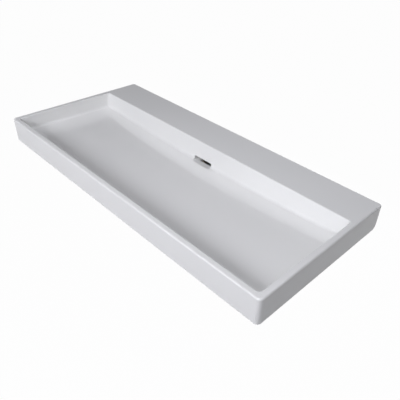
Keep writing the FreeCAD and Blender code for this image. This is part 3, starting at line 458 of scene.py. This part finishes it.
def softbox(name, place, glow_width, glow_height, power, colour):
    """A rectangular diffused lamp, aimed at the basin."""
    lamp = bpy.data.lights.new(name, "AREA")
    lamp.shape = "RECTANGLE"
    lamp.size = glow_width / GLOW_SHARE
    lamp.size_y = glow_height / GLOW_SHARE
    lamp.energy = power / GLOW_SHARE**2
    lamp.color = colour[:3]
    soften_frame(lamp)
    box = bpy.data.objects.new(name, lamp)
    box.location = place
    aim = Vector(LIT_POINT) - Vector(place)
    box.rotation_euler = aim.to_track_quat("-Z", "Y").to_euler()
    bpy.context.collection.objects.link(box)


def photo_camera(sizes):
    """The camera where the photograph was taken from, with its lens and off-centre crop."""
    view = bpy.data.cameras.new("photo_camera")
    view.sensor_width = 36.0
    view.lens = sizes.lens
    view.shift_x, view.shift_y = sizes.shift_across, sizes.shift_up
    view.clip_start = 0.05
    camera = bpy.data.objects.new("photo_camera", view)
    bearing, rise, roll = sizes.camera_bearing, sizes.camera_rise, sizes.camera_roll
    back = Vector(
        (
            math.sin(bearing) * math.cos(rise),
            -math.cos(bearing) * math.cos(rise),
            math.sin(rise),
        )
    )
    right = Vector((0, 0, 1)).cross(back).normalized()
    up = back.cross(right)
    across = right * math.cos(roll) + up * math.sin(roll)
    upward = up * math.cos(roll) - right * math.sin(roll)
    turn = Matrix((across, upward, back)).transposed().to_4x4()
    camera.matrix_world = Matrix.Translation(sizes.camera_place) @ turn
    bpy.context.collection.objects.link(camera)
    bpy.context.scene.camera = camera


# What a user can change


def length(name, description, default):
    """A length property in metres."""
    return FloatProperty(
        name=name,
        description=description,
        default=default,
        min=0.0,
        precision=5,
        unit="LENGTH",
        subtype="DISTANCE",
    )


def tone(name, description, hex_colour):
    """A colour property whose default is an sRGB hex colour."""
    return FloatVectorProperty(
        name=name,
        description=description,
        default=linear(hex_colour),
        size=4,
        min=0.0,
        max=1.0,
        subtype="COLOR",
    )


class BasinSizes(bpy.types.PropertyGroup):
    """Sizes of the finishes, of the waste's threads and of the studio."""

    skirt_height: length("Skirt height", "Rim down to the bare foot of the skirt", 0.072)
    pooling_width: length("Pooling width", "Breadth of the thicker patches of glaze", 0.16)
    wave_length: length("Wave length", "Breadth of the slow waves in the glaze", 0.05)
    wave_height: length("Wave height", "Height of the slow waves in the glaze", 0.00006)
    peel_length: length("Peel length", "Breadth of the dimples that spraying leaves", 0.004)
    peel_height: length("Peel height", "Height of the dimples that spraying leaves", 0.0000015)
    wipe_height: length("Wipe height", "How far up the foot the glaze is wiped off", 0.0016)
    wipe_wobble: length("Wipe wobble", "Breadth of the unevenness of the wiped line", 0.03)
    clay_grain: length("Clay grain", "Grain of the bare fireclay", 0.0012)
    mould_grain: length("Mould grain", "Grain of the moulded plastic", 0.0009)
    mould_grain_height: length("Mould grain height", "Height of the grain", 0.00002)
    plastic_depth: length("Plastic depth", "How deep light goes into the plastic", 0.002)
    bloom_width: length("Bloom width", "Breadth of the bloom on the rubber", 0.006)
    tool_mark: length("Tool mark", "Distance between the lathe's rings", 0.0006)
    tool_mark_height: length("Tool mark height", "Height of the lathe's rings", 0.000012)
    polish_height: length("Polish height", "Height of the rings left under the chrome", 0.000002)
    smear_width: length("Smear width", "Breadth of the handling smears", 0.014)
    thread_pitch: length("Thread pitch", "Pitch of the waste's pipe thread", 0.002309)
    thread_depth: length("Thread depth", "Depth of the waste's pipe thread", 0.0013)
    plain_neck: length("Plain neck", "Unthreaded length under the waste's flange", 0.004)
    trap_thread: length("Trap thread", "Length of the lower thread", 0.044)
    groove_width: length("Groove width", "Groove between the two threads", 0.002)
    groove_depth: length("Groove depth", "Depth of that groove", 0.0013)
    tail_radius: length("Tail radius", "Outside of the tail", 0.020955)
    tail_wall: length("Tail wall", "Wall of the tail", 0.0026)
    tail_length: length("Tail length", "Waste below its flange", 0.07)
    flange_radius: length("Flange radius", "Flange of the waste", 0.032)
    flange_thickness: length("Flange thickness", "Flange of the waste", 0.0035)
    grid_radius: length("Grid recess radius", "Recess for the grid", 0.0252)
    grid_seat_depth: length("Grid recess depth", "Recess for the grid", 0.0018)
    edge_round: length("Edge round", "Broken edges of the waste", 0.0006)
    cross_drop: length("Cross drop", "Cross below the flange's foot", 0.016)
    cross_height: length("Cross height", "Height of the cross", 0.006)
    cross_thickness: length("Cross thickness", "Arms of the cross", 0.003)
    hub_radius: length("Hub radius", "Hub of the cross", 0.006)
    hub_bore: length("Hub bore", "Screw hole of the hub", 0.00255)
    rows_per_turn: IntProperty(
        name="Rows per turn", description="Mesh rows over one thread pitch", default=6, min=4
    )
    thread_columns: IntProperty(
        name="Thread columns", description="Mesh columns round the waste", default=72, min=24
    )
    floor_drop: length("Floor drop", "Studio floor below the wall bolts", 0.85)
    floor_width: length("Floor width", "Side of the studio floor", 30.0)
    shadow_share: FloatProperty(
        name="Shadow share",
        description="How much of its own light and shadow the white floor keeps",
        default=0.02,
        min=0.0,
        max=1.0,
        subtype="FACTOR",
    )
    room_light: FloatProperty(
        name="Room light", description="Strength of the even light", default=0.03, min=0.0
    )
    ceiling_light: FloatProperty(
        name="Ceiling light",
        description="Brightness of the ceiling in mirror images",
        default=0.08,
        min=0.0,
    )
    backdrop_top: FloatProperty(
        name="Backdrop top",
        description="Where the backdrop starts to fade to the ceiling, above the horizon",
        default=math.radians(10.0),
        unit="ROTATION",
        subtype="ANGLE",
    )
    ceiling_rise: FloatProperty(
        name="Ceiling rise",
        description="Where the fade to the ceiling ends, above the horizon",
        default=math.radians(24.0),
        unit="ROTATION",
        subtype="ANGLE",
    )
    lens: FloatProperty(
        name="Lens", description="Focal length for a 36 mm sensor", default=40.755, min=1.0
    )
    shift_across: FloatProperty(
        name="Shift across", description="Sideways shift of the camera", default=-0.0659
    )
    shift_up: FloatProperty(
        name="Shift up", description="Upward shift of the camera", default=0.0113
    )
    camera_bearing: FloatProperty(
        name="Camera bearing",
        description="Camera round from the front of the basin to its right",
        default=math.radians(42.647),
        unit="ROTATION",
        subtype="ANGLE",
    )
    camera_rise: FloatProperty(
        name="Camera rise",
        description="Camera above the horizon",
        default=math.radians(36.0),
        unit="ROTATION",
        subtype="ANGLE",
    )
    camera_roll: FloatProperty(
        name="Camera roll",
        description="Camera about its own line of sight",
        default=math.radians(3.228),
        unit="ROTATION",
        subtype="ANGLE",
    )
    camera_place: FloatVectorProperty(
        name="Camera place",
        description="Where the camera stands",
        default=(0.8300, -0.9154, 0.6614),
        unit="LENGTH",
        subtype="TRANSLATION",
    )


class BasinColours(bpy.types.PropertyGroup):
    """Colours of the finishes."""

    glaze: tone("Glaze", "White of the glaze", "#F1F1EF")
    glaze_pooled: tone("Pooled glaze", "White of the glaze where it lies thicker", "#EEEFED")
    clay: tone("Clay", "Bare fireclay", "#D6CBB6")
    clay_dark: tone("Dark clay", "Grog in the bare fireclay", "#B9AB92")
    chrome: tone("Chrome", "Polished chrome of the waste", "#D9DADC")
    brass: tone("Brass", "Inserts and nut", "#C9A765")
    steel: tone("Steel", "Stainless screws and washers", "#C3C2BF")
    rubber: tone("Rubber", "Gasket and seals", "#232325")
    rubber_bloom: tone("Rubber bloom", "Grey bloom on the rubber", "#3A3A3D")
    plastic: tone("Plastic", "Tray", "#DADAD6")
    polyethylene: tone("Polyethylene", "Slip washer", "#E2DFD5")
    floor: tone("Floor", "Studio floor", "#E4E4EA")
    lamp: tone("Lamp", "Light of the softboxes", "#F8F8FF")


# Pieces, one operator for each or for a group that is alike


class BasinOperator:
    """What the basin's operators share."""

    bl_options = {"REGISTER", "UNDO"}

    def execute(self, context):
        scene = context.scene
        self.make(scene.basin_sizes, scene.basin_colours)
        return {"FINISHED"}


class BASIN_OT_casting(BasinOperator, bpy.types.Operator):
    """Glazes the casting and bares its foot"""

    bl_idname = "basin.casting"
    bl_label = "Casting"

    def make(self, sizes, tones):
        finish_node("basin_body", fireclay_glaze(sizes, tones))


class BASIN_OT_tray(BasinOperator, bpy.types.Operator):
    """Finishes the moulded tray and its gasket"""

    bl_idname = "basin.tray"
    bl_label = "Tray and gasket"

    def make(self, sizes, tones):
        plastic = moulded_plastic("tray_polypropylene", tones.plastic, sizes, roughness=0.38)
        finish_node("outlet_tray", plastic)
        finish_node("tray_gasket", moulded_rubber("tray_rubber", sizes, tones))


class BASIN_OT_tray_fixings(BasinOperator, bpy.types.Operator):
    """Finishes the tray's inserts, screws and washers"""

    bl_idname = "basin.tray_fixings"
    bl_label = "Tray fixings"

    def make(self, sizes, tones):
        mark = sizes.tool_mark_height
        brass = turned_metal("insert_brass", tones.brass, sizes, mark, roughness=0.3)
        finish_node("tray_inserts", brass)
        steel = turned_metal("screw_steel", tones.steel, sizes, mark, roughness=0.25)
        finish_node("tray_screws", steel)
        finish_node("tray_washers", steel)


class BASIN_OT_waste(BasinOperator, bpy.types.Operator):
    """Builds the threaded waste in place of its plain solid"""

    bl_idname = "basin.waste"
    bl_label = "Threaded waste"

    def make(self, sizes, tones):
        piece = threaded_waste(sizes)
        smooth_by_angle(piece, SHARP_TURN)
        polish = sizes.polish_height
        chrome = turned_metal("waste_chrome", tones.chrome, sizes, polish, roughness=0.06)
        piece.data.materials.append(chrome)
        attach(piece, BODY)
        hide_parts("waste_body")


class BASIN_OT_grid(BasinOperator, bpy.types.Operator):
    """Finishes the strainer grid and its screw"""

    bl_idname = "basin.grid"
    bl_label = "Strainer grid"

    def make(self, sizes, tones):
        polish = sizes.polish_height
        chrome = turned_metal("grid_chrome", tones.chrome, sizes, polish, roughness=0.08)
        finish_node("waste_grid", chrome)
        steel = turned_metal("grid_steel", tones.steel, sizes, polish, roughness=0.12)
        finish_node("grid_screw", steel)


class BASIN_OT_tail_rings(BasinOperator, bpy.types.Operator):
    """Finishes the seals, the washer and the nut on the tail"""

    bl_idname = "basin.tail_rings"
    bl_label = "Seals and nut"

    def make(self, sizes, tones):
        seal = moulded_rubber("seal_rubber", sizes, tones)
        finish_node("flange_seal", seal)
        finish_node("under_seal", seal)
        plastic = moulded_plastic("washer_polyethylene", tones.polyethylene, sizes, roughness=0.5)
        finish_node("slip_washer", plastic)
        mark = sizes.tool_mark_height
        brass = turned_metal("nut_brass", tones.brass, sizes, mark, roughness=0.32)
        finish_node("backnut", brass)


class BASIN_OT_stage(BasinOperator, bpy.types.Operator):
    """Sets up the white floor, the softboxes, the room light and the camera"""

    bl_idname = "basin.stage"
    bl_label = "Studio"

    def make(self, sizes, tones):
        half = sizes.floor_width / 2
        mesh = bpy.data.meshes.new("studio_floor")
        low = -sizes.floor_drop
        corners = [(-half, -half, low), (half, -half, low), (half, half, low), (-half, half, low)]
        mesh.from_pydata(corners, [], [(0, 1, 2, 3)])
        floor = bpy.data.objects.new("studio_floor", mesh)
        mesh.materials.append(studio_white("floor_paint", tones.floor, sizes.shadow_share))
        bpy.context.collection.objects.link(floor)
        floor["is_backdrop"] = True
        bpy.context.scene.world = studio_world(sizes, tones.floor)
        for name, place, width, height, power in SOFTBOXES:
            softbox(name, place, width, height, power, tones.lamp)
        photo_camera(sizes)
        bpy.context.scene.view_settings.view_transform = "Standard"


PIECES = (
    BASIN_OT_casting,
    BASIN_OT_tray,
    BASIN_OT_tray_fixings,
    BASIN_OT_waste,
    BASIN_OT_grid,
    BASIN_OT_tail_rings,
    BASIN_OT_stage,
)


class BASIN_PT_pieces(bpy.types.Panel):
    """Lists the basin's pieces, sizes and colours"""

    bl_label = "Washbasin"
    bl_idname = "BASIN_PT_pieces"
    bl_space_type = "VIEW_3D"
    bl_region_type = "UI"
    bl_category = "Washbasin"

    def draw(self, context):
        layout = self.layout
        for piece in PIECES:
            layout.operator(piece.bl_idname)
        for group in (context.scene.basin_sizes, context.scene.basin_colours):
            box = layout.box()
            for name in group.bl_rna.properties.keys():
                if name not in ("rna_type", "name"):
                    box.prop(group, name)


CLASSES = (BasinSizes, BasinColours, *PIECES, BASIN_PT_pieces)


def register():
    for each in CLASSES:
        bpy.utils.register_class(each)
    bpy.types.Scene.basin_sizes = PointerProperty(type=BasinSizes)
    bpy.types.Scene.basin_colours = PointerProperty(type=BasinColours)


def unregister():
    del bpy.types.Scene.basin_colours
    del bpy.types.Scene.basin_sizes
    for each in reversed(CLASSES):
        bpy.utils.unregister_class(each)


def main():
    register()
    bpy.ops.basin.casting()
    bpy.ops.basin.tray()
    bpy.ops.basin.tray_fixings()
    bpy.ops.basin.waste()
    bpy.ops.basin.grid()
    bpy.ops.basin.tail_rings()
    bpy.ops.basin.stage()
    boxes = {"cad": loaded_box, "visual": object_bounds()}
    boxes = {name: [list(corner) for corner in box] for name, box in boxes.items()}


if __name__ == "__main__":
    main()
